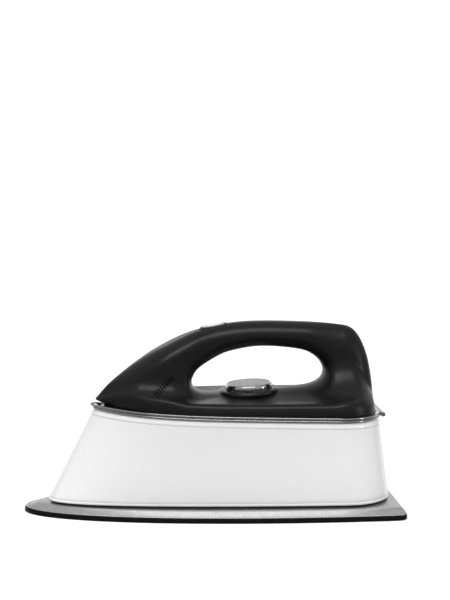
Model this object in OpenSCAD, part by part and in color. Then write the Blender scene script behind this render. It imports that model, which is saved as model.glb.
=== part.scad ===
// Top-handle handbag shaped like a clothes iron.
// Millimetres. Nose towards -X, heel towards +X, up is +Z, and the sole rests on Z = 0.
// The mouth of the bag lies in a plane that drops towards the heel; everything above it
// (metal frames, lid, handle) is drawn in that plane's own frame, with z = 0 on the wall's top edge.

/* [Sole plate] */
// Length of the sole plate, nose to heel
sole_l = 310; // [300:1:320]
// Widest half width of the sole plate
sole_half_w = 63.5; // [62:0.5:66]
// Height of the black edge binding
rim_h = 4.4; // [4:0.1:5]
// Height of the padded top of the sole plate
sole_h = 8; // [7.6:0.1:9]
// Width of the bevel between the stitched rim and the flat top
bevel_w = 9; // [7:0.5:10]

/* [Body] */
// Height of the body's lower hem above the floor
hem_z = 9.9; // [9.8:0.1:10.5]
// Height of the body's top edge at mid length
mouth_z = 81.3; // [79:0.1:84]
// Slope of the mouth, dropping towards the heel, in degrees
mouth_tilt = 1.8; // [1:0.1:2.5]
// Half width of the body
body_half_w = 50.2; // [49.8:0.1:51]
// Thickness of the patent leather outside
cover_t = 1.2; // [1:0.1:1.4]
// Thickness of the stiffener board in the wall
board_t = 1.8; // [1.6:0.1:2]
// Thickness of the lining
lining_t = 0.8; // [0.6:0.1:1]

/* [Metal frame] */
// Height of the lower frame above the wall
lower_frame_h = 1.8; // [1.6:0.1:2]
// Open line between the two frames
frame_gap = 0.4; // [0.3:0.1:0.5]
// Height of the upper frame
upper_frame_h = 2; // [1.8:0.1:2.2]
// Width of both frames
frame_w = 4; // [3.5:0.1:4.5]

/* [Handle] */
// Wall thickness of the moulded handle
handle_wall = 3; // [2.5:0.1:3.5]
// Half width of the hand grip
grip_half_w = 14; // [13:0.5:15]
// Height of the upright skirt at the foot of the handle
skirt_h = 5.8; // [5:0.1:7]

/* [Dial] */
// Diameter of the dial
dial_d = 39.5; // [38:0.5:41]
// Diameter of the black collar under it
collar_d = 50; // [48:0.5:51]
// Diameter of the spindle
spindle_d = 8; // [7:0.5:8]

/* [Button] */
// Length of the oval button on the crest
button_l = 22.6; // [21:0.1:24]
// Width of the oval button
button_w = 11; // [10:0.1:12]
// Travel of the button
button_travel = 2; // [1.5:0.1:2.5]

/* [Hinge and clasp] */
// Length of the hinge barrel across the heel
hinge_l = 40; // [36:1:42]
// Diameter of the clasp's thumb button
clasp_d = 9.2; // [9:0.1:10]

/* [Hidden] */

round_fn = 64;
small_fn = 32;
outline_steps = 32;

// A plan outline: [nose x, heel x, half width, fullness, bluntness, taper, heel corner radius].
// Fullness sets how soon the sides reach full width, bluntness how round the nose is, and taper
// narrows the outline towards the heel (negative) or the nose (positive).
sole_plan = [-sole_l / 2, sole_l / 2, sole_half_w, 1.73, 1.98, -0.2, 8];
hem_plan = [-135, 148, body_half_w, 1.3, 2.65, -0.08, 39.5];
mouth_plan = [-97, 139, 50, 6, 1.12, 0, 39];

// How much further an inset moves the pointed nose than the sides
nose_inset = 1.3;

function inset(p, d) =
    [p[0] + nose_inset * d, p[1] - d, p[2] - d, p[3], p[4], p[5], max(p[6] - d, 2)];

function half_width(p, x) =
    let (
        t = min(max((x - p[0]) / (p[1] - p[0]), 0), 1),
        w = p[2] * pow(1 - pow(1 - t, p[3]), 1 / p[4]) * (1 + p[5] * (t - 1)),
        into_corner = max(x - (p[1] - p[6]), 0)
    )
    w - p[6] + sqrt(max(p[6] * p[6] - into_corner * into_corner, 0));

// One side of an outline, points bunched towards the nose and the heel
function side_points(p) =
    [for (i = [1 : outline_steps])
        let (x = p[0] + (p[1] - p[0]) * (1 - cos(180 * i / outline_steps)) / 2)
        [x, half_width(p, x)]];

function mirrored_back(side) =
    [for (i = [len(side) - 1 : -1 : 0]) [side[i].x, side[i].y]];

function outline(p) =
    let (side = side_points(p))
    concat([[p[0], 0]], [for (q = side) [q.x, -q.y]], mirrored_back(side));

function at_height(points, z) = [for (q = points) [q.x, q.y, z]];

// A point of the mouth's frame, in the part's frame
function from_mouth(q) =
    [q.x * cos(mouth_tilt) + q.z * sin(mouth_tilt), q.y,
     mouth_z - q.x * sin(mouth_tilt) + q.z * cos(mouth_tilt)];

module on_mouth() {
    translate([0, 0, mouth_z]) rotate([0, mouth_tilt, 0]) children();
}

// A surface through a list of closed rings with equal counts. With looped = true the last ring
// joins the first, otherwise the two end rings are capped. The later spans are split along the
// other diagonal, so that the inner face of one layer matches the outer face of the next.
module loft(rings, looped = false) {
    n = len(rings[0]);
    m = len(rings);
    spans = looped ? m : m - 1;
    sides = [for (j = [0 : spans - 1], i = [0 : n - 1])
        let (
            a = j * n + i,
            b = ((j + 1) % m) * n + i,
            c = ((j + 1) % m) * n + (i + 1) % n,
            d = j * n + (i + 1) % n
        )
        each (j < m / 2 ? [[a, b, c], [a, c, d]] : [[a, b, d], [b, c, d]])];
    caps = looped ? [] : [[for (i = [0 : n - 1]) i], [for (i = [n - 1 : -1 : 0]) (m - 1) * n + i]];
    polyhedron([for (r = rings) each r], concat(sides, caps), convexity = 6);
}

module plate(p, z0, z1) {
    translate([0, 0, z0]) linear_extrude(z1 - z0) polygon(outline(p));
}

module ring_plate(outer, inner, z0, z1) {
    translate([0, 0, z0]) linear_extrude(z1 - z0) difference() {
        polygon(outline(outer));
        polygon(outline(inner));
    }
}

// Catmull-Rom curve through a list of points of any dimension
function blend4(a, b, c, d, t) =
    ((2 * b) + (c - a) * t + (2 * a - 5 * b + 4 * c - d) * t * t
        + (3 * b - a - 3 * c + d) * t * t * t) / 2;

function closed_curve(points, steps) =
    let (n = len(points))
    [for (i = [0 : n - 1], s = [0 : steps - 1])
        blend4(points[(i + n - 1) % n], points[i], points[(i + 1) % n], points[(i + 2) % n], s / steps)];

function open_curve(points, steps) =
    let (n = len(points))
    concat([for (i = [0 : n - 2], s = [0 : steps - 1])
        blend4(points[max(i - 1, 0)], points[i], points[i + 1], points[min(i + 2, n - 1)], s / steps)],
        [points[n - 1]]);

// Helical wire with closed ends flat on z = 0 and z = h
module coil(mean_r, wire_r, turns, h) {
    steps = 14;
    sides = 6;
    rise = h - 2 * wire_r;
    loft([for (k = [0 : turns * steps])
        let (a = 360 * k / steps, z = wire_r + rise * k / (turns * steps))
        [for (s = [0 : sides - 1])
            let (b = -360 * s / sides, r = mean_r + wire_r * cos(b))
            [r * cos(a), r * sin(a), z + wire_r * sin(b)]]]);
}

// ---- sole plate -------------------------------------------------------------------------------

binding_w = 2;
bottom_cover_t = 0.8;
sole_board_top = 3.8;
top_cover_t = 1;
sole_core = inset(sole_plan, binding_w);
sole_flat = inset([sole_plan[0], sole_plan[1], sole_plan[2], sole_plan[3], sole_plan[4],
                   sole_plan[5], 14], bevel_w);
stitched_rim_h = 0.5;

module sole_bottom_cover() {
    color("dimgray") difference() {
        plate(sole_core, 0, bottom_cover_t);
        base_screw_holes(2.8);
    }
}

module sole_board() {
    color("burlywood") difference() {
        plate(sole_core, bottom_cover_t, sole_board_top);
        base_screw_holes(1.6);
        base_screw_heads();
    }
}

module sole_edge_binding() {
    color([0.06, 0.06, 0.06]) ring_plate(sole_plan, sole_core, 0, rim_h);
}

module sole_padding() {
    color("khaki") difference() {
        loft([at_height(outline(sole_core), sole_board_top),
              at_height(outline(inset(sole_flat, top_cover_t + 0.5)), sole_h - top_cover_t)]);
        base_screw_holes(1.6);
    }
}

module sole_top_cover() {
    color("silver") difference() {
        loft([at_height(outline(inset(sole_flat, top_cover_t)), sole_h - top_cover_t),
              at_height(outline(sole_core), rim_h),
              at_height(outline(inset(sole_plan, 0.6)), rim_h),
              at_height(outline(inset(sole_plan, 1)), rim_h + stitched_rim_h),
              at_height(outline(sole_flat), sole_h)]);
        base_screw_holes(1.6);
    }
}

// ---- base of the body -------------------------------------------------------------------------

welt_plan = inset(hem_plan, 2);
wall_t = cover_t + board_t + lining_t;
floor_t = 2.2;
floor_lining_t = 0.8;
floor_gap = 0.2;
base_screw_places = [[-75, 0], [-20, 26], [-20, -26], [60, 30], [60, -30], [115, 0]];

module base_screw_holes(r) {
    for (p = base_screw_places)
        translate([p.x, p.y, -1]) cylinder(r = r, h = hem_z + floor_t + 2, $fn = small_fn);
}

module base_screw_heads() {
    for (p = base_screw_places)
        translate([p.x, p.y, -1]) cylinder(r = 2.8, h = 1 + bottom_cover_t + 1.6, $fn = small_fn);
}

module base_welt() {
    color([0.05, 0.05, 0.05]) difference() {
        plate(welt_plan, sole_h, hem_z);
        base_screw_holes(1.6);
    }
}

module base_screws() {
    color("gray") for (p = base_screw_places) translate([p.x, p.y, bottom_cover_t]) {
        cylinder(r = 2.8, h = 1.6, $fn = small_fn);
        cylinder(r = 1.6, h = hem_z + floor_t - bottom_cover_t, $fn = small_fn);
    }
}

function floor_outline(z) =
    [for (q = wall_ring(wall_t + floor_gap, (z - hem_z) / (mouth_z - hem_z))) [q.x, q.y]];

// A plate that stays inside the leaning wall at both of its faces
module floor_plate(z0, z1) {
    translate([0, 0, z0]) linear_extrude(z1 - z0) intersection() {
        polygon(floor_outline(z0));
        polygon(floor_outline(z1));
    }
}

module floor_board() {
    color("burlywood") difference() {
        floor_plate(hem_z, hem_z + floor_t);
        base_screw_holes(1.6);
    }
}

module floor_lining() {
    color("black") floor_plate(hem_z + floor_t, hem_z + floor_t + floor_lining_t);
}

// ---- wall of the body -------------------------------------------------------------------------

// The wall's outline at a depth below the outer face and a share of the way up the wall
function wall_ring(depth, share) =
    let (
        low = at_height(outline(inset(hem_plan, depth)), hem_z),
        top = at_height(outline(inset(mouth_plan, depth)), 0)
    )
    [for (i = [0 : len(low) - 1]) low[i] + (from_mouth(top[i]) - low[i]) * share];

// A closed band of wall between two depths and two shares of the way up
module wall_layer(outer_d, inner_d, from = 0, to = 1) {
    loft([wall_ring(inner_d, from), wall_ring(outer_d, from),
          wall_ring(outer_d, to), wall_ring(inner_d, to)], looped = true);
}

module body_cover() {
    color("white") wall_layer(0, cover_t);
}

module body_stiffener() {
    color("burlywood") difference() {
        wall_layer(cover_t, cover_t + board_t);
        frame_rivets();
    }
}

module body_lining() {
    color([0.12, 0.12, 0.12]) difference() {
        wall_layer(cover_t + board_t, wall_t);
        frame_rivets();
    }
}

// ---- metal frame, hinge -----------------------------------------------------------------------

frame_proud = 0.6;
frame_outer = inset(mouth_plan, -frame_proud);
frame_inner = inset(mouth_plan, frame_w);
frame_skirt_t = 1;
frame_skirt_from = 0.87;
frame_skirt_gap = 0.1;
frame_skirt_in = wall_t + frame_skirt_gap + frame_skirt_t;
upper_frame_z = lower_frame_h + frame_gap;
handle_z = upper_frame_z + upper_frame_h;

rivet_steps = [17, 20, 23];
rivet_share = 0.93;
rivet_r = 1.2;
rivet_head_r = 2.2;
rivet_head_h = 0.8;
hinge_x = mouth_plan[1] + 2.8;
hinge_z = lower_frame_h + frame_gap / 2;
hinge_pin_r = 0.9;
hinge_knuckle_r = 1.9;
hinge_fit = 0.05;
hinge_middle = 13.6;
leaf_t = 0.8;
leaf_back = 134;

module across(x, z, r, length) {
    translate([x, length / 2, z]) rotate([90, 0, 0]) cylinder(r = r, h = length, $fn = small_fn);
}

module lower_frame() {
    color([0.8, 0.8, 0.82]) difference() {
        union() {
            on_mouth() ring_plate(frame_outer, inset(mouth_plan, frame_skirt_in + 0.4), 0, lower_frame_h);
            wall_layer(wall_t + frame_skirt_gap, frame_skirt_in, frame_skirt_from, 1.01);
        }
        frame_rivets();
        on_mouth() translate([leaf_back, -hinge_l / 2, lower_frame_h - leaf_t])
            cube([20, hinge_l, 5]);
    }
}

// Heads on the skirt inside the bag, shanks into the stiffener
module frame_rivets() {
    inner = wall_ring(frame_skirt_in, rivet_share);
    color([0.7, 0.7, 0.72]) for (i = rivet_steps, side = [-1, 1])
        translate([inner[i].x, side * (abs(inner[i].y) - rivet_head_h / 2), inner[i].z])
            rotate([-90 * side, 0, 0]) {
                cylinder(r = rivet_head_r, h = rivet_head_h, $fn = small_fn);
                cylinder(r = rivet_r, h = rivet_head_h + frame_skirt_t + 2, $fn = small_fn);
            }
}

module hinge_lower_leaf() {
    knuckle_l = (hinge_l - hinge_middle) / 2 - 0.2;
    color([0.75, 0.75, 0.78]) on_mouth() difference() {
        union() {
            translate([leaf_back, -hinge_l / 2, lower_frame_h - leaf_t])
                cube([mouth_plan[1] - leaf_back, hinge_l, leaf_t]);
            for (side = [-1, 1]) translate([0, side * (hinge_l - knuckle_l) / 2, 0]) {
                across(hinge_x, hinge_z, hinge_knuckle_r, knuckle_l);
                translate([mouth_plan[1] - 1, -knuckle_l / 2, lower_frame_h - leaf_t])
                    cube([hinge_x - mouth_plan[1] + 1, knuckle_l, leaf_t]);
            }
        }
        across(hinge_x, hinge_z, hinge_pin_r, 60);
    }
}

module hinge_pin() {
    color([0.7, 0.7, 0.72]) on_mouth() across(hinge_x, hinge_z, hinge_pin_r, hinge_l + 0.6);
}

module hinge_upper_leaf() {
    color([0.75, 0.75, 0.78]) on_mouth() difference() {
        union() {
            translate([leaf_back, -hinge_middle / 2, upper_frame_z])
                cube([hinge_x - leaf_back, hinge_middle, leaf_t]);
            across(hinge_x, hinge_z, hinge_knuckle_r, hinge_middle);
        }
        across(hinge_x, hinge_z, hinge_pin_r + hinge_fit, 60);
    }
}

// ---- clasp ------------------------------------------------------------------------------------

clasp_pin_x = -89.5;
clasp_pin_z = 3;
clasp_pin_r = 0.6;
clasp_fit = 0.05;
clasp_eye_r = 1.1;
clasp_eye_w = 2.4;
clasp_ear_y = 2;
clasp_ear_t = 1;
clasp_button_x = -95.6;
clasp_button_z = 3.8;
clasp_button_h = 3.5;
clasp_clearance = 0.6;
clasp_recess_z = 7.2;

module clasp_bracket() {
    color([0.75, 0.75, 0.78]) on_mouth() difference() {
        for (side = [-1, 1])
            translate([clasp_pin_x - 1.5, side * (clasp_ear_y + clasp_ear_t / 2) - clasp_ear_t / 2,
                       lower_frame_h])
                cube([3, clasp_ear_t, 2.3]);
        across(clasp_pin_x, clasp_pin_z, clasp_pin_r, 20);
    }
}

module clasp_pin() {
    color("silver") on_mouth()
        across(clasp_pin_x, clasp_pin_z, clasp_pin_r, 2 * (clasp_ear_y + clasp_ear_t) + 0.6);
}

module clasp_button() {
    color("silver") on_mouth() difference() {
        union() {
            translate([clasp_button_x, 0, clasp_button_z]) rotate_extrude($fn = round_fn)
                polygon([for (a = [-90 : 10 : 90])
                    [clasp_d / 2 * cos(a), clasp_button_h / 2 * sin(a)]]);
            translate([clasp_button_x, -clasp_eye_w / 2, clasp_pin_z - 0.6])
                cube([clasp_pin_x - clasp_button_x, clasp_eye_w, 1.2]);
            across(clasp_pin_x, clasp_pin_z, clasp_eye_r, clasp_eye_w);
        }
        across(clasp_pin_x, clasp_pin_z, clasp_pin_r + clasp_fit, 20);
    }
}

module clasp_spring() {
    color("gray") on_mouth() translate([clasp_pin_x, clasp_ear_y - 0.08, clasp_pin_z])
        rotate([90, 0, 0]) coil(0.88, 0.13, 1, 0.6);
}

// ---- lid --------------------------------------------------------------------------------------

clasp_gap_l = 12;
clasp_gap_w = 10.4;
lid_lining_t = 0.6;
lid_screw_places = [[-45, 16], [10, 34], [100, 34]];
lid_screw_r = 1.5;
lid_screw_head_r = 3;
lid_screw_head_h = 1.2;
lid_screw_l = 6.8;

module clasp_gap() {
    translate([mouth_plan[0] - 2, -clasp_gap_w / 2, lower_frame_h])
        cube([clasp_gap_l, clasp_gap_w, 4]);
}

module upper_frame() {
    color([0.8, 0.8, 0.82]) on_mouth() difference() {
        ring_plate(frame_outer, frame_inner, upper_frame_z, handle_z);
        clasp_gap();
        translate([leaf_back - 0.2, -hinge_middle / 2, upper_frame_z - 1])
            cube([20, hinge_middle, leaf_t + 1]);
    }
}

module at_lid_screws() {
    for (p = lid_screw_places, side = [-1, 1])
        translate([p.x, side * p.y, upper_frame_z]) children();
}

module lid_board() {
    color("burlywood") on_mouth() difference() {
        plate(frame_inner, upper_frame_z, handle_z);
        clasp_gap();
        translate([leaf_back - 0.2, -hinge_middle / 2, upper_frame_z - 1])
            cube([20, hinge_middle, leaf_t + 1]);
        at_lid_screws() translate([0, 0, -1]) {
            cylinder(r = lid_screw_r, h = 5, $fn = small_fn);
            cylinder(r = lid_screw_head_r, h = 1 + lid_screw_head_h, $fn = small_fn);
        }
    }
}

module lid_lining() {
    color([0.12, 0.12, 0.12]) on_mouth() difference() {
        plate(inset(mouth_plan, wall_t + frame_skirt_t + 0.6), upper_frame_z - lid_lining_t, upper_frame_z);
        translate([mouth_plan[0], -hinge_l / 2, 0]) cube([20, hinge_l, 5]);
        translate([leaf_back - 0.2, -hinge_l / 2, 0]) cube([20, hinge_l, 5]);
    }
}

module lid_catch() {
    color([0.75, 0.75, 0.78]) on_mouth() translate([mouth_plan[0] + clasp_gap_l + 1, -3, -4]) {
        cube([0.8, 6, 4 + upper_frame_z - lid_lining_t]);
        translate([0, 0, 4 + upper_frame_z - lid_lining_t - 0.4]) cube([5, 6, 0.4]);
    }
}

module lid_screws() {
    color("gray") on_mouth() at_lid_screws() {
        cylinder(r = lid_screw_head_r, h = lid_screw_head_h, $fn = small_fn);
        cylinder(r = lid_screw_r, h = lid_screw_l, $fn = small_fn);
    }
}

// ---- handle -----------------------------------------------------------------------------------

// Sections around the finger hole, each from the outside [x, z] to the hole's edge [x, z].
// They start at the nose's foot, follow the crest to the heel, and come back along the base.
handle_rows = [
    [-89.5, 4.2, -15.5, 21], [-95, 8.2, -16.5, 24], [-83, 22.2, -16.9, 27], [-64, 38.5, -16, 30.5],
    [-44.4, 51, -13, 35], [-15.3, 65.4, -4, 42], [14, 72.7, 14, 50.6], [43.5, 75, 43.5, 55.2],
    [83.3, 75, 68, 53.6], [103.3, 73.6, 82, 49.6], [117, 68, 88.2, 45], [124.4, 58.3, 91.2, 41],
    [129.8, 45, 92.8, 36.8], [135.4, 25.4, 93.2, 32.5], [137.6, 15, 92.6, 29.5], [139.3, 4.2, 91, 26.5],
    [125, 4.2, 87.5, 24], [105, 4.2, 82, 21.6], [80, 4.2, 70, 18.8], [40, 4.2, 35, 16.2],
    [0, 4.2, 0, 14.2], [-40, 4.2, -10, 16.2], [-68, 4.2, -14, 18.6]
];
handle_plan = [-90, 139.3, 49.8, 5, 1.15, 0, 0];
heel_corner_r = 39;
row_steps = 3;
section_steps = 9;
edge_flat = 0.6;
inner_gap = 0.3;

handle_foot = handle_z;
handle_sections = [for (r = closed_curve(handle_rows, row_steps))
    [min(r[0], handle_plan[1]), max(r[1], handle_foot), r[2], r[3]]];

crest_points = [for (i = [1 : 9]) [handle_rows[i][0], handle_rows[i][1]]];
crest_table = open_curve(crest_points, 4);
heel_points = [for (i = [15 : -1 : 9]) [handle_rows[i][1], handle_rows[i][0]]];
heel_table = open_curve(heel_points, 4);

function smooth(a, b, x) = let (t = min(max((x - a) / (b - a), 0), 1)) t * t * (3 - 2 * t);
function mix(a, b, t) = a + (b - a) * t;
function bulge(d, r) = let (t = min(max(d / r, 0), 1)) sqrt(1 - (1 - t) * (1 - t));

// Height at which the flared foot has run out into the upright part
function flare_top(x) = 22 + 30 * smooth(-10, -60, x) * smooth(-110, -60, x) + 36 * smooth(80, 112, x);

// Half width of the handle's outer face at a point of its side view
function handle_half_width(x, z, to_hole) =
    let (
        foot = half_width(handle_plan, max(x, handle_plan[0])),
        rise = min(max((z - handle_foot - skirt_h) / (flare_top(x) - handle_foot - skirt_h), 0), 1),
        flare = pow(1 - rise, 2.2),
        neck = min(grip_half_w, 0.75 * foot + 2),
        w = mix(neck, max(foot, neck), flare),
        crest_gap = lookup(x, crest_table) - z,
        heel_gap = lookup(z, heel_table) - x,
        heel_r = min(w, mix(grip_half_w, heel_corner_r, flare)),
        crest_r = min(w, grip_half_w),
        by_heel = w - heel_r + heel_r * bulge(heel_gap, heel_r),
        by_crest = z < handle_foot + skirt_h ? w : w - crest_r + crest_r * bulge(crest_gap, crest_r),
        hole_r = mix(3, 11, smooth(16, 46, z))
    )
    max(min(by_heel, by_crest) * bulge(to_hole, hole_r), edge_flat);

// One closed C-shaped section of the near half: out over the outer face and back along the inside
function handle_ring(row) =
    let (
        outer = [row[0], row[1]],
        hole = [row[2], row[3]],
        l = norm(outer - hole),
        face = [for (k = [0 : section_steps])
            let (u = (1 - cos(180 * k / section_steps)) / 2, q = hole + (outer - hole) * u)
            [q.x, -handle_half_width(q.x, q.y, u * l), q.y]],
        back = [for (k = [section_steps : -1 : 0])
            let (
                u = mix(handle_wall, l - handle_wall, (1 - cos(180 * k / section_steps)) / 2) / l,
                q = hole + (outer - hole) * u
            )
            [q.x, -max(handle_half_width(q.x, q.y, u * l) - handle_wall, inner_gap), q.y]],
        inner_foot = back[0],
        inner_hole = back[section_steps]
    )
    concat([[hole.x, 0, hole.y]], face, [[outer.x, 0, outer.y], [inner_foot.x, 0, inner_foot.z]],
           back, [[inner_hole.x, 0, inner_hole.z]]);

module handle_half() {
    on_mouth() difference() {
        loft([for (r = handle_sections) handle_ring(r)], looped = true);
        on_deck() {
            translate([0, 0, -20]) cylinder(r = collar_boss_r, h = 40, $fn = round_fn);
            translate([0, 0, -collar_pad_h]) cylinder(r = collar_pad_r, h = 20, $fn = round_fn);
        }
        on_crest() translate([0, 0, -sleeve_depth]) linear_extrude(20)
            oval(button_l / 2 + sleeve_wall, button_w / 2 + sleeve_wall);
        for (p = lid_screw_places)
            translate([p.x, -p.y, 0]) cylinder(r = lid_screw_r, h = 12, $fn = small_fn);
        translate([clasp_button_x, 0, 0])
            cylinder(r = clasp_d / 2 + clasp_clearance, h = clasp_recess_z, $fn = round_fn);
    }
}

module handle_left_shell() {
    color([0.09, 0.09, 0.09]) handle_half();
}

module handle_right_shell() {
    color([0.09, 0.09, 0.09]) mirror([0, 1, 0]) handle_half();
}

// ---- dial -------------------------------------------------------------------------------------

dial_x = 31.4;
dial_z = 17;
dial_tilt = 5;
dial_gap = 0.3;
collar_t = 2.2;
collar_boss_r = 8;
collar_boss_l = 5;
collar_pad_r = 12;
collar_pad_h = 1.4;
spindle_r = spindle_d / 2;
spindle_fit = 0.05;
knob_z = collar_t + dial_gap;
knob_t = 4.4;
knob_socket = 2.4;
washer_t = 0.8;
washer_z = -collar_boss_l - dial_gap - washer_t;
clip_t = 1;
clip_z = washer_z - dial_gap - clip_t;
clip_groove = 0.8;

module on_deck() {
    translate([dial_x, 0, dial_z]) rotate([0, -dial_tilt, 0]) children();
}

module dial_collar() {
    r = collar_d / 2;
    color([0.05, 0.05, 0.05]) on_mouth() on_deck() rotate_extrude($fn = round_fn) polygon([
        [spindle_r + spindle_fit, -collar_boss_l], [collar_boss_r, -collar_boss_l],
        [collar_boss_r, -collar_pad_h], [collar_pad_r, -collar_pad_h], [collar_pad_r, 0],
        [r - 1, 0], [r, 0.8], [r - 0.6, 1.6], [r - 2.4, collar_t], [spindle_r + spindle_fit, collar_t]]);
}

module dial_knob() {
    r = dial_d / 2;
    color([0.82, 0.82, 0.84]) on_mouth() on_deck() rotate_extrude($fn = round_fn) polygon([
        [0, knob_z + knob_socket], [spindle_r, knob_z + knob_socket], [spindle_r, knob_z],
        [r - 1.2, knob_z], [r, knob_z + 1.2], [r, knob_z + knob_t - 0.6],
        [r - 0.6, knob_z + knob_t], [0, knob_z + knob_t]]);
}

module dial_spindle() {
    low = clip_z - 0.8;
    color([0.6, 0.6, 0.62]) on_mouth() on_deck() rotate_extrude($fn = round_fn) polygon([
        [0, low], [spindle_r - 0.4, low], [spindle_r, low + 0.4], [spindle_r, clip_z],
        [spindle_r - clip_groove, clip_z], [spindle_r - clip_groove, clip_z + clip_t],
        [spindle_r, clip_z + clip_t], [spindle_r, knob_z + knob_socket], [0, knob_z + knob_socket]]);
}

module dial_washer() {
    color([0.6, 0.6, 0.62]) on_mouth() on_deck() translate([0, 0, washer_z]) difference() {
        cylinder(r = collar_boss_r, h = washer_t, $fn = round_fn);
        translate([0, 0, -1]) cylinder(r = spindle_r + spindle_fit, h = 5, $fn = round_fn);
    }
}

module dial_clip() {
    color([0.5, 0.5, 0.52]) on_mouth() on_deck() translate([0, 0, clip_z]) difference() {
        cylinder(r = spindle_r + 2.5, h = clip_t, $fn = round_fn);
        translate([0, 0, -1]) cylinder(r = spindle_r - clip_groove, h = 5, $fn = round_fn);
        translate([0, -1.5, -1]) cube([20, 3, 5]);
    }
}

// ---- steam button -----------------------------------------------------------------------------

button_x = 0.1;
button_z = 69.98;
button_tilt = 11.5;
button_gap = 0.3;
button_proud = 1.8;
button_depth = 3.5;
sleeve_wall = 1.5;
sleeve_depth = 9.5;
sleeve_top = -0.6;
sleeve_floor = 1.5;

module on_crest() {
    translate([button_x, 0, button_z]) rotate([0, -button_tilt, 0]) children();
}

module oval(a, b) {
    polygon([for (k = [0 : 7.5 : 352.5]) [a * cos(k), b * sin(k)]]);
}

module button_sleeve() {
    color([0.1, 0.1, 0.1]) on_mouth() on_crest() difference() {
        translate([0, 0, -sleeve_depth]) linear_extrude(sleeve_depth + sleeve_top)
            oval(button_l / 2 + sleeve_wall, button_w / 2 + sleeve_wall);
        translate([0, 0, -sleeve_depth + sleeve_floor]) linear_extrude(20)
            oval(button_l / 2 + button_gap, button_w / 2 + button_gap);
    }
}

module steam_button() {
    color([0.82, 0.82, 0.84]) on_mouth() on_crest() {
        translate([0, 0, -button_depth]) linear_extrude(button_depth + button_proud - 0.8)
            oval(button_l / 2, button_w / 2);
        translate([0, 0, button_proud - 0.8]) linear_extrude(0.8)
            oval(button_l / 2 - 2, button_w / 2 - 1.2);
    }
}

module button_spring() {
    color("gray") on_mouth() on_crest() translate([0, 0, -sleeve_depth + sleeve_floor])
        coil(3, 0.3, 4, sleeve_depth - sleeve_floor - button_depth);
}

sole_bottom_cover();
sole_board();
sole_edge_binding();
sole_padding();
sole_top_cover();
base_welt();
base_screws();
floor_board();
floor_lining();
body_stiffener();
body_cover();
body_lining();
lower_frame();
frame_rivets();
hinge_lower_leaf();
hinge_pin();
clasp_bracket();
clasp_pin();
clasp_button();
clasp_spring();
upper_frame();
hinge_upper_leaf();
lid_board();
lid_lining();
lid_catch();
lid_screws();
handle_left_shell();
handle_right_shell();
dial_collar();
dial_knob();
dial_spindle();
dial_washer();
dial_clip();
button_sleeve();
steam_button();
button_spring();
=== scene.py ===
"""Looks for the iron-shaped handbag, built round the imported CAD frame.

Sizes are in millimetres in the design functions and turned into metres when a mesh is made.
The mouth frame is the tilted plane of the bag's opening: everything above it is drawn there.
"""

import math
import random

import bmesh
import bpy
import numpy as np
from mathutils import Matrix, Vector


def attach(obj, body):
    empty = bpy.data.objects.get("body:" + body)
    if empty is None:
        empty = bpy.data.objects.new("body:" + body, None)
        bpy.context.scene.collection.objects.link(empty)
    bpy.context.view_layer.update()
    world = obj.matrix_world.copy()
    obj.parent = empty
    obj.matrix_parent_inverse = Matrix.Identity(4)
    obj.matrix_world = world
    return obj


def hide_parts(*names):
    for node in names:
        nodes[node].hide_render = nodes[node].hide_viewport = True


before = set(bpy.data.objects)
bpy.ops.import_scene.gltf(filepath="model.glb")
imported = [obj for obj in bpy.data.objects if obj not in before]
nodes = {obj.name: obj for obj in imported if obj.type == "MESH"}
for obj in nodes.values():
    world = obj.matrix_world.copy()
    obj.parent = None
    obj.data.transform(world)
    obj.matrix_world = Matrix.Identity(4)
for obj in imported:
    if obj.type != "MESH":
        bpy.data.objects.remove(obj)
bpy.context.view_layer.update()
MM = 0.001

# ---- design dimensions, as in the CAD source (mm) -------------------------------------------

MOUTH_Z = 81.3
MOUTH_TILT = math.radians(1.8)
HEM_Z = 9.9
HANDLE_Z = 4.2
# Places on the handle: x, z and tilt in degrees, in the mouth frame
DIAL_AT = (31.4, 17.0, 5.0)
BUTTON_AT = (-0.2, 71.45, 11.5)
CLASP_AT = (-95.6, 3.9, 0.0)
# Half length and half width of the steam button
BUTTON_HALF = (11.3, 5.5)

# A plan outline: nose x, heel x, half width, fullness, bluntness, taper, heel corner radius
SOLE_PLAN = (-155, 155, 63.5, 1.73, 1.98, -0.2, 8)
HEM_PLAN = (-135, 148, 50.2, 1.3, 2.65, -0.08, 39.5)
MOUTH_PLAN = (-97, 139, 50, 6, 1.12, 0, 39)
HANDLE_PLAN = (-90.5, 138.3, 49.8, 5.9, 1.13, 0, 38)
OUTLINE_STEPS = 150


def half_width(p, x):
    """Half width of a plan outline at x, for a number or an array."""
    nose, heel, w, full, blunt, taper, corner = p
    t = np.clip((x - nose) / (heel - nose), 0, 1)
    side = w * (1 - (1 - t) ** full) ** (1 / blunt) * (1 + taper * (t - 1))
    into = np.maximum(x - (heel - corner), 0)
    return side - corner + np.sqrt(np.maximum(corner**2 - into**2, 0))


def inset(p, d, nose=1.3, heel=1.0):
    """The outline moved inwards by d. The nose and the heel move by their own shares of d."""
    return (p[0] + nose * d, p[1] - heel * d, p[2] - d, p[3], p[4], p[5], max(p[6] - d, 0.8))


def outline(p, steps=OUTLINE_STEPS):
    """Closed outline as an (n, 2) array: nose, near side, heel, far side."""
    turn = np.pi * np.arange(1, steps + 1) / steps
    x = p[0] + (p[1] - p[0]) * (1 - np.cos(turn)) / 2
    y = half_width(p, x)
    near = np.stack([x, -y], 1)
    far = np.stack([x, y], 1)[::-1]
    return np.concatenate([[[p[0], 0]], near, far])


def at_height(points, z):
    return np.column_stack([points, np.full(len(points), float(z))])


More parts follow.
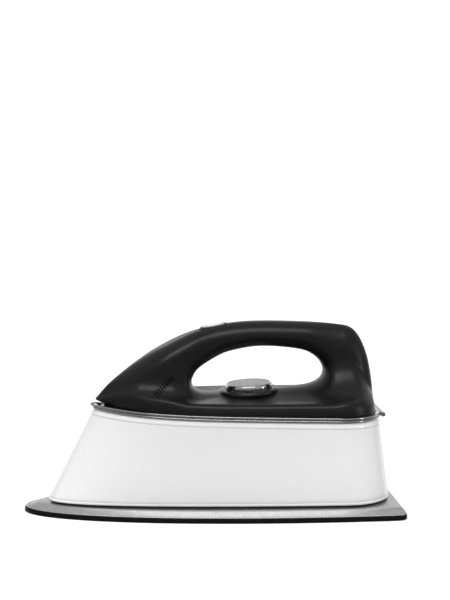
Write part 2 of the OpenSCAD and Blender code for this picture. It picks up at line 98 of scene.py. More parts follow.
def from_mouth(points):
    """Points of the mouth frame, in the part's frame."""
    points = np.asarray(points, float)
    x, y, z = points[..., 0], points[..., 1], points[..., 2]
    c, s = math.cos(MOUTH_TILT), math.sin(MOUTH_TILT)
    return np.stack([x * c + z * s, y, MOUTH_Z - x * s + z * c], -1)


def tilted(points, place):
    """Points of a small frame that stands on the handle, in the part's frame."""
    x0, z0, tilt = place[0], place[1], math.radians(place[2])
    x, y, z = points[..., 0], points[..., 1], points[..., 2]
    c, s = math.cos(tilt), math.sin(tilt)
    return from_mouth(np.stack([x0 + x * c - z * s, y, z0 + x * s + z * c], -1))


def catmull(points, steps, closed=False):
    """Smooth curve through a few points."""
    p = np.asarray(points, float)
    n = len(p)
    out = []
    for i in range(n if closed else n - 1):
        index = [(i + k) % n if closed else min(max(i + k, 0), n - 1) for k in (-1, 0, 1, 2)]
        a, b, c, d = p[index]
        t = (np.arange(steps) / steps)[:, None]
        out.append(((2 * b) + (c - a) * t + (2 * a - 5 * b + 4 * c - d) * t**2
                    + (3 * b - a - 3 * c + d) * t**3) / 2)
    if not closed:
        out.append(p[-1:])
    return np.concatenate(out)


def smooth(a, b, x):
    t = np.clip((x - a) / (b - a), 0, 1)
    return t * t * (3 - 2 * t)


def mix(a, b, t):
    return a + (b - a) * t


# ---- meshes ---------------------------------------------------------------------------------


def make_object(name, verts, faces, material, body, replaces=()):
    """A smooth-shaded piece from points in mm, which rides on a CAD body."""
    mesh = bpy.data.meshes.new(name)
    mesh.from_pydata((np.asarray(verts, float) * MM).tolist(), [], [list(map(int, f)) for f in faces])
    mesh.validate()
    mesh.update()
    obj = bpy.data.objects.new(name, mesh)
    bpy.context.scene.collection.objects.link(obj)
    mesh.polygons.foreach_set("use_smooth", [True] * len(mesh.polygons))
    mesh.materials.append(material)
    fix_normals(mesh)
    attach(obj, body)
    if replaces:
        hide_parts(*replaces)
    return obj


def fix_normals(mesh):
    bm = bmesh.new()
    bm.from_mesh(mesh)
    bmesh.ops.recalc_face_normals(bm, faces=bm.faces)
    bm.to_mesh(mesh)
    bm.free()


def grid_faces(rows, cols, wrap_rows, wrap_cols):
    """Quads between neighbouring rows of points."""
    faces = []
    for j in range(rows if wrap_rows else rows - 1):
        for i in range(cols if wrap_cols else cols - 1):
            a, b = j * cols + i, j * cols + (i + 1) % cols
            c, d = ((j + 1) % rows) * cols + (i + 1) % cols, ((j + 1) % rows) * cols + i
            faces.append((a, b, c, d))
    return faces


def loft(rings, looped=False):
    """Points and faces of a surface through closed rings. Fans cap the end rings, unless it is looped."""
    rings = [np.asarray(r, float) for r in rings]
    cols = len(rings[0])
    verts = np.concatenate(rings)
    faces = grid_faces(len(rings), cols, looped, True)
    if not looped:
        for start, ring in ((0, rings[0]), ((len(rings) - 1) * cols, rings[-1])):
            verts = np.concatenate([verts, [ring.mean(0)]])
            faces += [(start + i, start + (i + 1) % cols, len(verts) - 1) for i in range(cols)]
    return verts, faces


def join(parts):
    """Several (points, faces) as one."""
    verts, faces, base = [], [], 0
    for v, f in parts:
        verts.append(np.asarray(v, float))
        faces += [tuple(i + base for i in face) for face in f]
        base += len(v)
    return np.concatenate(verts), faces


def around(steps):
    """Angles of a full turn."""
    return 2 * np.pi * np.arange(steps) / steps


def oval_ring(a, b, z, place, steps):
    """A level oval in the small frame at place."""
    turn = around(steps)
    return tilted(np.stack([a * np.cos(turn), b * np.sin(turn), np.full(steps, float(z))], -1), place)


def lathe(profile, place, steps=96, looped=False):
    """A turned shape from [radius, height] pairs, standing on the handle at place."""
    return loft([oval_ring(r, r, z, place, steps) for r, z in profile], looped)


def resample(path, pitch):
    """Points evenly spaced along a closed path, and the unit tangents there."""
    closed = np.concatenate([path, path[:1]])
    seg = np.linalg.norm(np.diff(closed, axis=0), axis=1)
    s = np.concatenate([[0], np.cumsum(seg)])
    count = int(round(s[-1] / pitch))
    at = np.arange(count) * s[-1] / count
    points = np.stack([np.interp(at, s, closed[:, k]) for k in range(3)], 1)
    ahead = np.stack([np.interp((at + pitch * 0.3) % s[-1], s, closed[:, k]) for k in range(3)], 1)
    tangent = ahead - points
    return points, tangent / np.linalg.norm(tangent, axis=1)[:, None]


def stitches(path, up, pitch, radius, share=0.66, slant=0.12, seed=1):
    """A row of thread stitches along a closed path. up(point) gives the way out of the surface."""
    rng = random.Random(seed)
    points, tangents = resample(path, pitch)
    turn = around(8)
    parts = []
    for p, t in zip(points, tangents):
        n = np.asarray(up(p), float)
        n = n - t * (n @ t)
        n /= np.linalg.norm(n)
        b = np.cross(t, n)
        t2 = t + b * (slant + rng.uniform(-0.03, 0.03))
        t2 /= np.linalg.norm(t2)
        half = pitch * share / 2
        rings = []
        for k in range(7):
            u = -1 + 2 * k / 6
            r = radius * math.sqrt(max(1 - abs(u) ** 3, 0.03))
            centre = p + t2 * half * u - n * radius * 0.55 * abs(u) ** 2.5
            rings.append(centre + r * (np.cos(turn)[:, None] * n + np.sin(turn)[:, None] * np.cross(t2, n)))
        parts.append(loft(rings))
    return join(parts)


# ---- materials ------------------------------------------------------------------------------


def new_material(name):
    mat = bpy.data.materials.new(name)
    mat.use_nodes = True
    tree = mat.node_tree
    shader = tree.nodes["Principled BSDF"]
    return mat, tree, shader


def node(tree, kind, **inputs):
    made = tree.nodes.new(kind)
    for key, value in inputs.items():
        made.inputs[key.replace("_", " ")].default_value = value
    return made


def noise(tree, coords, scale, detail=4.0, rough=0.55, stretch=None):
    """Noise texture in object space, with a scale per metre."""
    made = node(tree, "ShaderNodeTexNoise", Scale=scale, Detail=detail, Roughness=rough)
    source = coords
    if stretch:
        mapping = tree.nodes.new("ShaderNodeMapping")
        mapping.inputs["Scale"].default_value = stretch
        tree.links.new(coords, mapping.inputs["Vector"])
        source = mapping.outputs["Vector"]
    tree.links.new(source, made.inputs["Vector"])
    return made.outputs["Fac"]


def remap(tree, value, low, high):
    made = tree.nodes.new("ShaderNodeMapRange")
    made.inputs["From Min"].default_value = 0.3
    made.inputs["From Max"].default_value = 0.7
    made.inputs["To Min"].default_value = low
    made.inputs["To Max"].default_value = high
    tree.links.new(value, made.inputs["Value"])
    return made.outputs["Result"]


def tint(tree, value, dark, light):
    ramp = tree.nodes.new("ShaderNodeValToRGB")
    ramp.color_ramp.elements[0].position = 0.35
    ramp.color_ramp.elements[1].position = 0.65
    ramp.color_ramp.elements[0].color = (*dark, 1)
    ramp.color_ramp.elements[1].color = (*light, 1)
    tree.links.new(value, ramp.inputs["Fac"])
    return ramp.outputs["Color"]


def bump(tree, height, distance, strength=1.0, under=None):
    made = node(tree, "ShaderNodeBump", Distance=distance, Strength=strength)
    tree.links.new(height, made.inputs["Height"])
    if under is not None:
        tree.links.new(under, made.inputs["Normal"])
    return made.outputs["Normal"]


def surface(name, dark, light, rough, metallic=0.0, grain=900.0, grain_depth=0.00003, grain_kind="noise",
            wave=30.0, wave_depth=0.0, coat=0.0, coat_rough=0.05, specular=0.5, stretch=None, detail=5.0):
    """A material with colour variation, varied roughness, a fine grain and a slow waviness."""
    mat, tree, shader = new_material(name)
    coords = tree.nodes.new("ShaderNodeTexCoord").outputs["Object"]
    slow = noise(tree, coords, wave, 2.0)
    patches = noise(tree, coords, grain * 0.25, 3.0)
    tree.links.new(tint(tree, patches, dark, light), shader.inputs["Base Color"])
    wear = noise(tree, coords, grain * 0.1, 1.0)
    tree.links.new(remap(tree, wear, rough[0], rough[1]), shader.inputs["Roughness"])
    if grain_kind == "cells":
        cells = node(tree, "ShaderNodeTexVoronoi", Scale=grain, Randomness=1.0)
        tree.links.new(coords, cells.inputs["Vector"])
        fine = cells.outputs["Distance"]
    else:
        fine = noise(tree, coords, grain, detail, stretch=stretch)
    normal = bump(tree, fine, grain_depth)
    if wave_depth:
        normal = bump(tree, slow, wave_depth, under=normal)
    tree.links.new(normal, shader.inputs["Normal"])
    shader.inputs["Metallic"].default_value = metallic
    shader.inputs["Specular IOR Level"].default_value = specular
    if coat:
        shader.inputs["Coat Weight"].default_value = coat
        shader.inputs["Coat Roughness"].default_value = coat_rough
    return mat


def woven(name, dark, light, thread):
    """Lining cloth: threads of that width in metres, running along and across."""
    mat, tree, shader = new_material(name)
    coords = tree.nodes.new("ShaderNodeTexCoord").outputs["Object"]
    along = noise(tree, coords, 1 / thread, 2.0, stretch=(0.05, 1, 1))
    across = noise(tree, coords, 1 / thread, 2.0, stretch=(1, 1, 0.05))
    normal = bump(tree, along, thread * 0.25)
    tree.links.new(bump(tree, across, thread * 0.25, under=normal), shader.inputs["Normal"])
    tree.links.new(tint(tree, along, dark, light), shader.inputs["Base Color"])
    tree.links.new(remap(tree, across, 0.75, 0.9), shader.inputs["Roughness"])
    shader.inputs["Sheen Weight"].default_value = 0.3
    return mat


def grey(v):
    return (v, v, v)


patent = surface("white_patent_leather", grey(0.74), grey(0.75), (0.12, 0.16), grain=500,
                 grain_depth=0.000002, wave=22, wave_depth=0.00005, coat=1.0, coat_rough=0.03)
silver = surface("silver_leather", grey(0.66), grey(0.73), (0.28, 0.32), metallic=0.9, grain=700,
                 grain_depth=0.00002, wave=26, wave_depth=0.00025, detail=1.5)
binding_black = surface("black_edge_binding", grey(0.003), grey(0.006), (0.34, 0.45), grain=1800,
                        grain_depth=0.00001, specular=0.15)
welt_black = surface("black_welt", grey(0.006), grey(0.012), (0.5, 0.65), grain=1200, grain_depth=0.00005)
plastic = surface("satin_black_plastic", grey(0.005), grey(0.007), (0.28, 0.33), grain=2600,
                  grain_depth=0.000006, wave=14, wave_depth=0.00004, specular=0.4)
collar_black = surface("gloss_black_plastic", grey(0.008), grey(0.012), (0.18, 0.26), grain=2000,
                       grain_depth=0.000004)
chrome = surface("polished_chrome", grey(0.80), grey(0.86), (0.06, 0.12), metallic=1.0, grain=1500,
                 grain_depth=0.000003)
nickel = surface("nickel_frame", grey(0.62), grey(0.72), (0.14, 0.24), metallic=1.0, grain=1500,
                 grain_depth=0.000006, stretch=(0.05, 1, 1))
satin_metal = surface("satin_metal", grey(0.72), grey(0.80), (0.20, 0.28), metallic=1.0, grain=1500,
                      grain_depth=0.000004)
lens_metal = surface("bright_lens_metal", grey(0.82), grey(0.90), (0.24, 0.32), metallic=0.45, grain=1500,
                     grain_depth=0.000003)
brushed = surface("brushed_dial_face", grey(0.50), grey(0.62), (0.28, 0.42), metallic=0.9, grain=3000,
                  grain_depth=0.00001, stretch=(0.04, 1, 1))
steel = surface("plain_steel", grey(0.42), grey(0.52), (0.28, 0.40), metallic=1.0, grain=1800,
                grain_depth=0.000008)
fibreboard = surface("fibreboard", (0.30, 0.21, 0.13), (0.42, 0.31, 0.20), (0.75, 0.9), grain=1600,
                     grain_depth=0.00006)
foam = surface("foam", (0.55, 0.52, 0.42), (0.68, 0.65, 0.54), (0.8, 0.95), grain=1500, grain_depth=0.0002,
               grain_kind="cells")
lining = woven("black_lining_cloth", grey(0.012), grey(0.03), 0.0008)
white_thread = surface("white_thread", grey(0.46), grey(0.60), (0.5, 0.7), grain=5000, grain_depth=0.00004)
grey_thread = surface("grey_thread", grey(0.16), grey(0.30), (0.5, 0.7), grain=5000, grain_depth=0.00004)

CAD_MATERIALS = {
    "sole_bottom_cover": binding_black, "sole_board": fibreboard, "sole_padding": foam,
    "base_welt": welt_black, "base_screws": steel, "floor_board": fibreboard, "floor_lining": lining,
    "body_stiffener": fibreboard, "body_lining": lining, "frame_rivets": nickel, "hinge_lower_leaf": nickel,
    "hinge_pin": steel, "clasp_bracket": nickel, "clasp_pin": chrome, "clasp_spring": steel,
    "hinge_upper_leaf": nickel, "lid_board": welt_black, "lid_lining": lining, "lid_catch": steel,
    "lid_screws": steel, "dial_spindle": steel, "dial_washer": steel, "dial_clip": steel,
    "button_sleeve": collar_black, "button_spring": steel,
}


def dress_cad_nodes():
    for name, material in CAD_MATERIALS.items():
        nodes[name].data.materials.clear()
        nodes[name].data.materials.append(material)


dress_cad_nodes()


# ---- handle ---------------------------------------------------------------------------------

# Side view of the handle in the mouth frame: its outer line from nose to heel, and the finger opening
CREST = [(-89.3, -60), (-89.3, 0), (-89.6, 4.2), (-91.4, 6.4), (-96.0, 8.2), (-93.6, 11.8), (-84, 22.8),
         (-64.6, 39.2), (-44.8, 52.2), (-15.6, 66.5), (14, 73.8), (43.5, 76.1), (83.3, 75.8), (103.3, 74.5),
         (113.6, 72.6), (120.6, 67.0), (126.3, 57.4), (130.9, 44.8), (135.0, 24.7),
         (137.8, 4.2), (138.4, -60)]
HOLE = [(-15.8, 20.6), (-17.2, 25.4), (-16.2, 29.8), (-11, 36.8), (4.4, 46.5), (14.2, 50.6), (33.8, 54.7),
        (53.4, 55), (73.5, 52.8), (83.6, 48.6), (90.4, 42.2), (93.3, 34.0), (91.4, 26.8), (82.8, 22.2),
        (57.3, 18.6), (30, 16.2), (2.1, 13.6), (-9, 15.2)]
GRIP_HALF_W = 14.0
# Half length, half width and floor of the well round the button
BUTTON_WELL = (11.7, 5.9, -3.9)
# Grid steps of the outlines' distances, and of the handle's mesh in a quick and a full build
GRID_STEP = 0.5
QUICK_STEP, FULL_STEP = 2.0, 1.2


def signed_distance(polygon, x, z):
    """Distance from a closed outline, positive inside, for flat arrays of points."""
    a = polygon
    b = np.roll(polygon, -1, 0)
    best = np.full(x.shape, 1e9)
    inside = np.zeros(x.shape, bool)
    for (ax, az), (bx, bz) in zip(a, b):
        ex, ez = bx - ax, bz - az
        t = np.clip(((x - ax) * ex + (z - az) * ez) / (ex * ex + ez * ez), 0, 1)
        best = np.minimum(best, (x - ax - t * ex) ** 2 + (z - az - t * ez) ** 2)
        if az != bz:
            crosses = ((az > z) != (bz > z)) & (x < ex * (z - az) / ez + ax)
            inside ^= crosses
    return np.where(inside, 1, -1) * np.sqrt(best)


class DistanceMap:
    """Signed distance from an outline, sampled once on a fine grid."""

    def __init__(self, polygon, low, high):
        self.low = np.array(low, float)
        axes = [np.arange(low[k], high[k] + GRID_STEP, GRID_STEP) for k in range(2)]
        u, v = np.meshgrid(*axes, indexing="ij")
        self.grid = signed_distance(np.asarray(polygon), u.ravel(), v.ravel()).reshape(u.shape)

    def at(self, u, v):
        fu = np.clip((u - self.low[0]) / GRID_STEP, 0, self.grid.shape[0] - 1.001)
        fv = np.clip((v - self.low[1]) / GRID_STEP, 0, self.grid.shape[1] - 1.001)
        i, j = fu.astype(int), fv.astype(int)
        fu, fv = fu - i, fv - j
        g = self.grid
        return mix(mix(g[i, j], g[i + 1, j], fu), mix(g[i, j + 1], g[i + 1, j + 1], fu), fv)


side_low, side_high = (-101, -1), (146, 82)
crest_map = DistanceMap(catmull(CREST, 8), side_low, side_high)
hole_map = DistanceMap(catmull(HOLE, 8, closed=True), side_low, side_high)
foot_map = DistanceMap(outline(HANDLE_PLAN, 80), (-101, -56), (146, 56))


def soft_min(a, b, k):
    h = np.maximum(k - np.abs(a - b), 0) / k
    return np.minimum(a, b) - h * h * k / 4


def soft_max(a, b, k):
    return -soft_min(-a, -b, k)


def button_well(x, y, z):
    """Below zero inside the oval well that the steam button sinks into."""
    half_length, half_across, floor = BUTTON_WELL
    tilt = math.radians(BUTTON_AT[2])
    dx, dz = x - BUTTON_AT[0], z - BUTTON_AT[1]
    along = dx * math.cos(tilt) + dz * math.sin(tilt)
    up = dz * math.cos(tilt) - dx * math.sin(tilt)
    oval = (np.sqrt((along / half_length) ** 2 + (y / half_across) ** 2) - 1) * half_across
    return np.maximum(oval, floor - up)


def upright_part(x, y, z, in_crest, out_hole, at_nose, at_heel):
    """The grip, the nose and the rear pillar: an upright slab with round edges."""
    plan = half_width(HANDLE_PLAN, np.maximum(x, -85))
    below = (40 - z + np.sqrt((40 - z) ** 2 + 18**2)) / 2
    spread = np.maximum(0.15 * at_nose, 0.12 * at_heel)
    face = mix(GRIP_HALF_W, 0.60 * plan, at_nose) + (below - 4) * spread
    face = soft_min(face, tip_half_width(x), 3.0)
    side_r = np.minimum(mix(12.5, 18.0, np.maximum(at_nose, at_heel)), face)
    crest_r = mix(11.0, 20.0, at_heel)
    hole_r = mix(6.0, 9.6, smooth(19, 40, z))
    across = np.maximum(y - (face - side_r), 0) / side_r
    top = np.maximum(crest_r - in_crest, 0) / crest_r
    under = np.maximum(hole_r - out_hole, 0) / hole_r
    return 10 * (np.sqrt(across**2 + top**2 + under**2 + 1e-9) - 1)


def deck_part(x, y, z, in_crest, out_foot, at_nose):
    """The base: a deck with round shoulders over an upright skirt."""
    middle = 13.4 + 0.088 * np.clip(x - 2, -20, 84)
    edge = 13.2 + 0.02 * x
    deck = z - mix(middle, edge, smooth(8, 40, y))
    shoulder = mix(8.0, 5.0, at_nose) + 5 * smooth(100, 130, x)
    return soft_max(soft_max(deck, -in_crest, 5.0), out_foot - 0.6, shoulder)


def tip_half_width(x):
    """Half width of the pointed tip at the nose."""
    return 3.4 * np.sqrt(np.maximum(x + 97.5, 0.3))


def outside_foot(x, y, z):
    """Distance out of the handle's foot: narrower over the tip, leaning in at the heel."""
    flat = -foot_map.at(x, y)
    tip = np.where(x < -70, np.minimum(flat, y - tip_half_width(x)), flat)
    return mix(flat, tip, smooth(4.5, 7.5, z)) + 0.17 * np.clip(z - 6, 0, 12) * smooth(108, 134, x)


def handle_field(x, y, z):
    """Below zero inside the handle. Points are in the mouth frame."""
    y = np.abs(y)
    in_crest = crest_map.at(x, z)
    out_hole = -hole_map.at(x, z)
    out_foot = outside_foot(x, y, z)
    at_nose = smooth(4, -46, x)
    at_heel = smooth(76, 108, x)
    upright = upright_part(x, y, z, in_crest, out_hole, at_nose, at_heel)
    deck = deck_part(x, y, z, in_crest, out_foot, at_nose)
    fillet = 0.5 + (7 + 11 * at_nose + 21 * at_heel) * smooth(0, 16, in_crest)
    body = soft_max(soft_min(upright, deck, fillet), out_foot, 2.5)
    body = np.maximum(body, np.maximum(HANDLE_Z - z, -in_crest))
    return np.maximum(body, -button_well(x, y, z))


def surface_net(field, origin, step):
    """Quads on the zero level of a sampled field, one point a cell."""
    shape = np.array(field.shape)
    cells = shape - 1
    total = np.zeros((*cells, 3))
    count = np.zeros(cells)
    grid = np.stack(np.meshgrid(*[np.arange(n) for n in shape], indexing="ij"), -1).astype(float)
    quads = []
    index = np.arange(np.prod(cells)).reshape(cells)
    for axis in range(3):
        low = [slice(None)] * 3
        high = [slice(None)] * 3
        low[axis], high[axis] = slice(0, -1), slice(1, None)
        a, b = field[tuple(low)], field[tuple(high)]
        cross = (a < 0) != (b < 0)
        t = np.where(cross, a / np.where(cross, a - b, 1), 0)
        point = grid[tuple(low)].copy()
        point[..., axis] += t
        p, q = [k for k in range(3) if k != axis]
        for dp in (0, 1):
            for dq in (0, 1):
                part = [slice(None)] * 3
                part[p] = slice(dp, dp + cells[p])
                part[q] = slice(dq, dq + cells[q])
                part = tuple(part)
                total += point[part] * cross[part][..., None]
                count += cross[part]
        inner = [slice(None)] * 3
        inner[p] = inner[q] = slice(1, -1)
        found = np.argwhere(cross[tuple(inner)])
        found[:, [p, q]] += 1
        corners = []
        for dp, dq in ((1, 1), (0, 1), (0, 0), (1, 0)):
            cell = found.copy()
            cell[:, p] -= dp
            cell[:, q] -= dq
            corners.append(index[tuple(cell.T)])
        quads.append(np.stack(corners, 1))
    used = np.flatnonzero(count.ravel() > 0)
    points = total.reshape(-1, 3)[used] / count.ravel()[used][:, None]
    order = np.full(index.size, -1)
    order[used] = np.arange(len(used))
    return origin + points * step, order[np.concatenate(quads)]


def settle(points, rounds=3):
    """Moves points onto the zero level of the handle's field."""
    eps = 0.05
    for _ in range(rounds):
        value = handle_field(*points.T)
        slope = np.stack([(handle_field(*(points + eps * way).T) - value) / eps for way in np.eye(3)], 1)
        size = np.maximum((slope**2).sum(1), 0.1)
        move = -value[:, None] * slope / size[:, None]
        length = np.linalg.norm(move, axis=1)[:, None]
        points = points + move * np.minimum(1, 0.6 / np.maximum(length, 1e-9))
    return points


def build_handle():
    step = FULL_STEP
    low, high = np.array([-99.0, -53.3, 2.0]), np.array([144.0, 53.3, 79.0])
    axes = [np.arange(low[k], high[k] + step, step) for k in range(3)]
    x, y, z = np.meshgrid(*axes, indexing="ij")
    field = handle_field(x.ravel(), y.ravel(), z.ravel()).reshape(x.shape)
    points, quads = surface_net(field, low, step)
    points = settle(points)
    make_object("handle", from_mouth(points), quads, plastic, "lid",
                ("handle_left_shell", "handle_right_shell"))


def flank_y(x, z):
    """Where the handle's near flank is, at a point of the side view."""
    inner, outer = 0.0, 45.0
    for _ in range(24):
        middle = (inner + outer) / 2
        if handle_field(np.array([x]), np.array([middle]), np.array([z]))[0] < 0:
            inner = middle
        else:
            outer = middle
    return -inner


def build_ribs():
    """A slanted row of short grip ribs on the near flank of the nose."""
    parts = []
    turn = around(8)
    for k in range(9):
        x0, z0 = mix(-48.0, -35.0, k / 8), mix(17.5, 31.5, k / 8)
        rings = []
        for u in np.linspace(-1, 1, 7):
            x, z = x0 - 2.2 * u, z0 + 2.0 * u
            r = 0.8 * math.sqrt(max(1 - abs(u) ** 3, 0.03))
            centre = np.array([x, flank_y(x, z) - 0.1, z])
            rings.append(centre + r * (np.cos(turn)[:, None] * np.array([0, 1, 0])
                                       + np.sin(turn)[:, None] * np.array([0.67, 0, 0.74])))
        parts.append(loft(rings))
    verts, faces = join(parts)
    make_object("handle_ribs", from_mouth(verts), faces, binding_black, "lid")


build_handle()
build_ribs()

# ---- body wall, hems ------------------------------------------------------------------------


def outline_normals(points):
    """Outward normals of a closed outline, in plan."""
    t = np.roll(points, -1, 0) - np.roll(points, 1, 0)
    n = np.stack([t[:, 1], -t[:, 0]], 1)
    return n / np.linalg.norm(n, axis=1)[:, None]


hem_line = outline(HEM_PLAN)
mouth_line = outline(MOUTH_PLAN)
hem_normals = outline_normals(hem_line)
mouth_normals = outline_normals(mouth_line)
hem_ring = at_height(hem_line, HEM_Z)
mouth_ring = from_mouth(at_height(mouth_line, 0))
wall_heights = np.linalg.norm(mouth_ring - hem_ring, axis=1)


def wall_ring(from_bottom=None, from_top=None, out=0.0):
    """The wall's outline at a distance along it from its bottom or top edge, moved out of it."""
    s = from_bottom / wall_heights if from_top is None else 1 - from_top / wall_heights
    s = s[:, None]
    n = mix(hem_normals, mouth_normals, s)
    return mix(hem_ring, mouth_ring, s) + out * np.column_stack([n, np.zeros(len(n))])


def build_cover():
    low = [(0.0, -1.2), (0.0, -0.5), (0.15, -0.1), (0.5, 0.22), (1.2, 0.36), (1.9, 0.26), (2.3, 0.02),
           (2.6, -0.10), (2.9, 0.04), (3.4, 0.20), (4.6, 0.22), (7.0, 0.10), (12.0, 0.0), (24.0, 0.0)]
    high = [(24.0, 0.0), (12.0, 0.0), (7.4, 0.02), (6.2, 0.08), (5.5, 0.04), (5.1, -0.14), (4.7, 0.06),
            (4.3, 0.44), (3.9, 0.52), (2.6, 0.24), (1.3, -0.08), (0.7, -0.24), (0.2, -0.5), (0.0, -0.9),
            (0.0, -1.2)]
    rings = [wall_ring(from_bottom=b, out=d) for b, d in low]
    rings += [wall_ring(from_top=t, out=d) for t, d in high]
    verts, faces = loft(rings, looped=True)
    make_object("white_cover", verts, faces, patent, "bag_body", ("body_cover",))


def away_from_axis(p):
    """Roughly the way out of the wall at a point of it."""
    return (0.15 * p[0] / 140, p[1], 0.0) if abs(p[1]) > 1 else (p[0], p[1], 0.0)


def build_hem_stitches():
    verts, faces = stitches(wall_ring(from_top=5.1, out=-0.04), away_from_axis, 3.0, 0.24, seed=3)
    make_object("top_hem_stitches", verts, faces, white_thread, "bag_body")
    verts, faces = stitches(wall_ring(from_bottom=2.6, out=0.0), away_from_axis, 2.6, 0.24, seed=4)
    make_object("bottom_hem_stitches", verts, faces, white_thread, "bag_body")


build_cover()
build_hem_stitches()

# ---- sole plate -----------------------------------------------------------------------------


def sole_ring(d, z, heel=0.35):
    return at_height(outline(inset(SOLE_PLAN, d, heel=heel)), z)


def build_sole():
    cover = [(0.9, 4.2), (0.7, 4.5), (1.1, 4.85), (1.8, 5.05), (2.3, 4.85), (2.6, 4.7), (2.9, 4.85),
             (3.5, 5.2), (5.0, 5.9), (7.0, 6.8), (8.6, 7.55), (9.3, 7.8), (9.8, 7.66), (10.3, 7.86),
             (11.5, 8.0), (14.0, 8.0)]
    rings = [sole_ring(d, z) for d, z in cover]
    verts, faces = loft(rings)
    cover = make_object("silver_sole_cover", verts, faces, silver, "bag_body",
                        ("sole_top_cover",))
    edge = [(2.0, 0.0), (0.9, 0.0), (0.35, 0.18), (0.08, 0.6), (0.0, 1.3), (0.0, 3.0), (0.1, 3.7), (0.4, 4.2),
            (0.9, 4.4), (2.0, 4.4)]
    rings = [at_height(outline(inset(SOLE_PLAN, d)), z) for d, z in edge]
    verts, faces = loft(rings, looped=True)
    make_object("edge_binding", verts, faces, binding_black, "bag_body",
                ("sole_edge_binding",))
    verts, faces = stitches(sole_ring(2.6, 4.95), lambda p: (0, 0, 1), 2.7, 0.36, share=0.58, seed=5)
    make_object("sole_stitches", verts, faces, grey_thread, "bag_body")


build_sole()

# ---- metal frames ---------------------------------------------------------------------------


def frame_rings(profile):
    return [from_mouth(at_height(outline(inset(MOUTH_PLAN, d)), z)) for d, z in profile]


def build_frames():
    lower = [(-0.6, 0.5), (-0.45, 0.15), (-0.1, 0.0), (3.8, 0.0), (3.8, -9.0), (4.8, -9.0), (4.8, 1.5),
             (4.5, 1.8), (-0.1, 1.8), (-0.45, 1.65), (-0.6, 1.3)]
    verts, faces = loft(frame_rings(lower), looped=True)
    make_object("lower_frame_ring", verts, faces, nickel, "bag_body", ("lower_frame",))
    upper = [(-0.6, 2.7), (-0.45, 2.35), (-0.1, 2.2), (4.0, 2.2), (4.0, 4.15), (0.4, 4.2), (-0.1, 4.15),
             (-0.45, 4.0), (-0.6, 3.7)]
    verts, faces = loft(frame_rings(upper), looped=True)
    make_object("upper_frame_ring", verts, faces, nickel, "lid", ("upper_frame",))


build_frames()

# ---- dial -----------------------------------------------------------------------------------


def build_dial():
    knob = [(0, 2.6), (18.2, 2.6), (19.4, 2.8), (19.95, 3.3), (19.5, 5.4), (19.3, 6.2), (18.9, 6.75),
            (18.2, 6.9), (17.6, 6.8), (17.3, 6.55)]
    verts, faces = lathe(knob, DIAL_AT)
    make_object("dial_rim", verts, faces, chrome, "dial", ("dial_knob",))
    face = [(17.35, 6.4), (17.3, 6.62), (16.5, 6.68), (8.0, 6.75), (1.0, 6.78)]
    verts, faces = lathe(face, DIAL_AT)
    make_object("dial_face", verts, faces, brushed, "dial")
    collar = [(4.06, -5), (8, -5), (8, -1.4), (12, -1.4), (12.2, -1.6), (21.5, -1.8), (24.1, -1.8),
              (24.7, -1.3), (25.0, -0.5), (25.0, 0.6), (24.7, 1.4), (24.1, 1.9), (23.0, 2.2), (21.0, 2.3),
              (4.06, 2.3)]
    verts, faces = lathe(collar, DIAL_AT, looped=True)
    make_object("collar", verts, faces, collar_black, "lid", ("dial_collar",))


build_dial()

# ---- steam button, clasp --------------------------------------------------------------------


def oval_stack(profile, steps=72):
    """Part of the button from pairs of a share of its outline and a height."""
    length, across = BUTTON_HALF
    return loft([oval_ring(length * s, across * s, z, BUTTON_AT, steps) for s, z in profile])


def build_button():
    rim = [(0.1, -1.6), (0.97, -1.6), (1.0, -1.4), (1.0, 0.2), (0.985, 0.38), (0.95, 0.45), (0.92, 0.42),
           (0.9, 0.25), (0.89, -0.1)]
    verts, faces = oval_stack(rim)
    make_object("button_rim", verts, faces, steel, "button", ("steam_button",))
    lens = [(0.9, -0.2), (0.895, 0.1), (0.75, 0.36), (0.4, 0.58), (0.08, 0.65)]
    verts, faces = oval_stack(lens)
    make_object("button_lens", verts, faces, lens_metal, "button")


def build_clasp():
    knob = [(0.0, -1.9), (2.6, -1.8), (3.6, -1.5), (3.5, -1.2), (4.2, -0.9), (4.6, -0.3), (4.65, 0.3),
            (4.4, 0.9), (3.7, 1.4), (2.6, 1.7), (1.2, 1.86), (0.1, 1.9)]
    verts, faces = lathe(knob, CLASP_AT, 48)
    arm = []
    for x in (-95.6, -94.0, -92.0, -90.6, -89.5, -88.7):
        half = 1.2
        thick = 0.6 if x < -90 else 1.0
        ring = [(x, -half, 3 - thick), (x, half, 3 - thick), (x, half, 3 + thick), (x, -half, 3 + thick)]
        arm.append(from_mouth(ring))
    verts, faces = join([(verts, faces), loft(arm)])
    make_object("clasp_knob", verts, faces, satin_metal, "clasp", ("clasp_button",))


build_button()
build_clasp()

# ---- stage, lights, camera ------------------------------------------------------------------


# Sizes in metres from here on. The lights are strengths of the backdrop: seen by the camera, below the
# horizon, above it, and the glow low behind the bag.
FLOOR_R = 0.42
FLOOR_SIDES = 128
BACKDROP = 1.2
LOW_LIGHT = 0.04
WALL_LIGHT = 0.34
BACK_LIGHT = 0.7
BACK_LEAN = (0.0, 1.0, -1.0)
OVERHEAD = 3.1


def build_stage():
    mesh = bpy.data.meshes.new("floor")
    turn = around(FLOOR_SIDES)
    rim = np.stack([FLOOR_R * np.cos(turn), FLOOR_R * np.sin(turn), np.zeros(FLOOR_SIDES)], 1)
    mesh.from_pydata(rim.tolist(), [], [tuple(range(FLOOR_SIDES))])
    floor = bpy.data.objects.new("floor", mesh)
    bpy.context.scene.collection.objects.link(floor)
    mat, tree, shader = new_material("pale_floor")
    shader.inputs["Base Color"].default_value = (0.9, 0.9, 0.9, 1)
    shader.inputs["Roughness"].default_value = 0.7
    shader.inputs["Specular IOR Level"].default_value = 0.2
    mesh.materials.append(mat)
    floor.visible_glossy = False


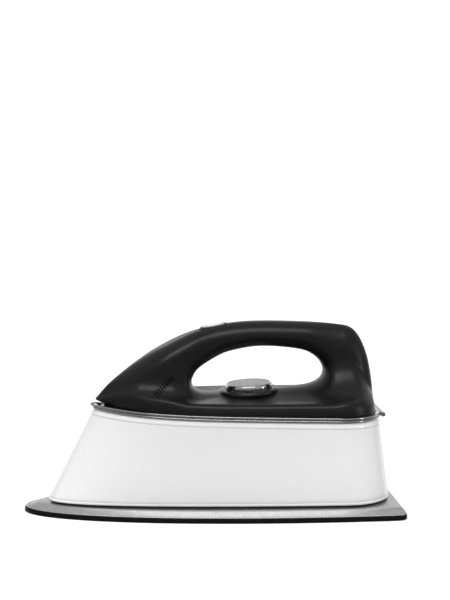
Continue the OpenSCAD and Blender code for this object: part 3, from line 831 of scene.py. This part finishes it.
def area_light(name, place, aim, size, power):
    data = bpy.data.lights.new(name, "AREA")
    data.shape = "RECTANGLE"
    data.size, data.size_y = size
    data.energy = power
    obj = bpy.data.objects.new(name, data)
    bpy.context.scene.collection.objects.link(obj)
    obj.location = place
    obj.rotation_mode = "QUATERNION"
    obj.rotation_quaternion = (Vector(aim) - Vector(place)).to_track_quat("-Z", "Y")


def map_range(tree, value, low, high, to_low, to_high):
    made = node(tree, "ShaderNodeMapRange", From_Min=low, From_Max=high, To_Min=to_low, To_Max=to_high)
    tree.links.new(value, made.inputs["Value"])
    return made


def build_backdrop():
    """White to the camera. The bag is lit by a soft wall of light with a glow low behind it."""
    world = bpy.data.worlds.new("studio")
    bpy.context.scene.world = world
    world.use_nodes = True
    tree = world.node_tree
    background = tree.nodes["Background"]
    way = tree.nodes.new("ShaderNodeTexCoord").outputs["Generated"]
    lean = tree.nodes.new("ShaderNodeVectorMath")
    lean.operation = "DOT_PRODUCT"
    lean.inputs[1].default_value = BACK_LEAN
    tree.links.new(way, lean.inputs[0])
    glow = map_range(tree, lean.outputs["Value"], 0.5, 0.9, 0.0, BACK_LIGHT)
    glow.interpolation_type = "SMOOTHSTEP"
    split = tree.nodes.new("ShaderNodeSeparateXYZ")
    tree.links.new(way, split.inputs["Vector"])
    wall = map_range(tree, split.outputs["Z"], -0.5, 0.2, LOW_LIGHT, WALL_LIGHT)
    total = tree.nodes.new("ShaderNodeMath")
    tree.links.new(wall.outputs["Result"], total.inputs[0])
    tree.links.new(glow.outputs["Result"], total.inputs[1])
    seen = tree.nodes.new("ShaderNodeLightPath")
    pick = tree.nodes.new("ShaderNodeMix")
    pick.inputs["B"].default_value = BACKDROP
    tree.links.new(seen.outputs["Is Camera Ray"], pick.inputs["Factor"])
    tree.links.new(total.outputs["Value"], pick.inputs["A"])
    tree.links.new(pick.outputs["Result"], background.inputs["Strength"])
    background.inputs["Color"].default_value = (1, 1, 1, 1)


def build_lamps():
    data = bpy.data.lights.new("overhead", "SUN")
    data.energy = OVERHEAD
    data.angle = math.radians(80)
    overhead = bpy.data.objects.new("overhead", data)
    bpy.context.scene.collection.objects.link(overhead)
    overhead.rotation_euler = (math.radians(12), 0, 0)
    overhead.visible_glossy = False
    area_light("softbox", (-0.22, -1.15, 1.70), (0, 0, 0.1), (1.90, 0.95), 13.0)
    area_light("side_strip", (1.20, -0.50, 0.12), (0.14, 0, 0.05), (0.12, 0.30), 0.5)


def build_camera():
    """A little above the bag, and a little towards its nose."""
    data = bpy.data.cameras.new("camera")
    camera = bpy.data.objects.new("camera", data)
    bpy.context.scene.collection.objects.link(camera)
    data.lens = 88.87
    data.sensor_width = 36
    camera.location = (-0.10908, -1.20900, 0.32182)
    yaw, pitch = 0.09968, -0.12138
    camera.rotation_euler = (math.pi / 2 + pitch, 0, -yaw)
    data.clip_start, data.clip_end = 0.05, 50
    bpy.context.scene.camera = camera


build_stage()
build_backdrop()
build_lamps()
build_camera()
bpy.context.scene.view_settings.view_transform = "Standard"
